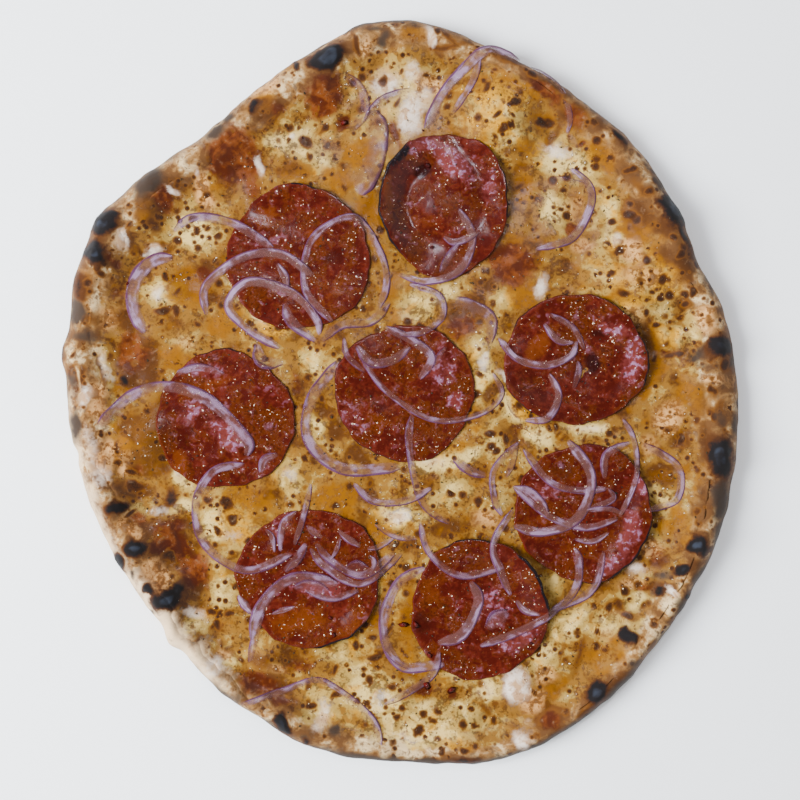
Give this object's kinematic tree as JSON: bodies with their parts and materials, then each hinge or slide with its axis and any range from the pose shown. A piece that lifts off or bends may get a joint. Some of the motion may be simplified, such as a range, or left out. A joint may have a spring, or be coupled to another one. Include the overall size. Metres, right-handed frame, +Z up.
{
  "type": "chorizo pizza",
  "caption": "Whole uncut stone-baked pizza, lying flat: puffed charred rim, melted cheese and tomato, slices of chorizo and strips of red onion.",
  "frame": {"origin": "on the table under the middle of the pizza's outline", "axes": "+Z up from the table; +Y along the pizza's longest diameter, towards the picture's upper edge; +X towards the picture's right edge"},
  "size_m": [0.2927, 0.321, 0.0175],
  "materials": {
    "crust": "baked dough, matt, floury and charred in spots",
    "cheese": "melted cheese and tomato, oily gloss, browned spots",
    "chorizo": "oily cured sausage, dark red, glossy",
    "onion": "moist, slightly see-through, purple edge"
  },
  "bodies": {
    "root": {"crust": "crust", "cheese": "cheese", "chorizo_1": "chorizo", "chorizo_2": "chorizo", "chorizo_3": "chorizo", "chorizo_4": "chorizo", "chorizo_5": "chorizo", "chorizo_6": "chorizo", "chorizo_7": "chorizo", "chorizo_8": "chorizo", "onion_01": "onion", "onion_02": "onion", "onion_03": "onion", "onion_04": "onion", "onion_05": "onion", "onion_06": "onion", "onion_07": "onion", "onion_08": "onion", "onion_09": "onion", "onion_10": "onion", "onion_11": "onion", "onion_12": "onion", "onion_13": "onion", "onion_14": "onion", "onion_15": "onion", "onion_16": "onion", "onion_17": "onion", "onion_18": "onion", "onion_19": "onion", "onion_20": "onion", "onion_21": "onion", "onion_22": "onion", "onion_23": "onion", "onion_24": "onion", "onion_25": "onion", "onion_26": "onion", "onion_27": "onion", "onion_28": "onion", "onion_29": "onion", "onion_30": "onion", "onion_31": "onion", "onion_32": "onion", "onion_33": "onion", "onion_34": "onion", "onion_35": "onion", "onion_36": "onion", "onion_37": "onion", "onion_38": "onion", "onion_39": "onion", "onion_40": "onion", "onion_41": "onion", "onion_42": "onion", "onion_43": "onion", "onion_44": "onion", "onion_45": "onion", "onion_46": "onion", "onion_47": "onion", "onion_48": "onion", "onion_49": "onion"}
  },
  "joints": []
}
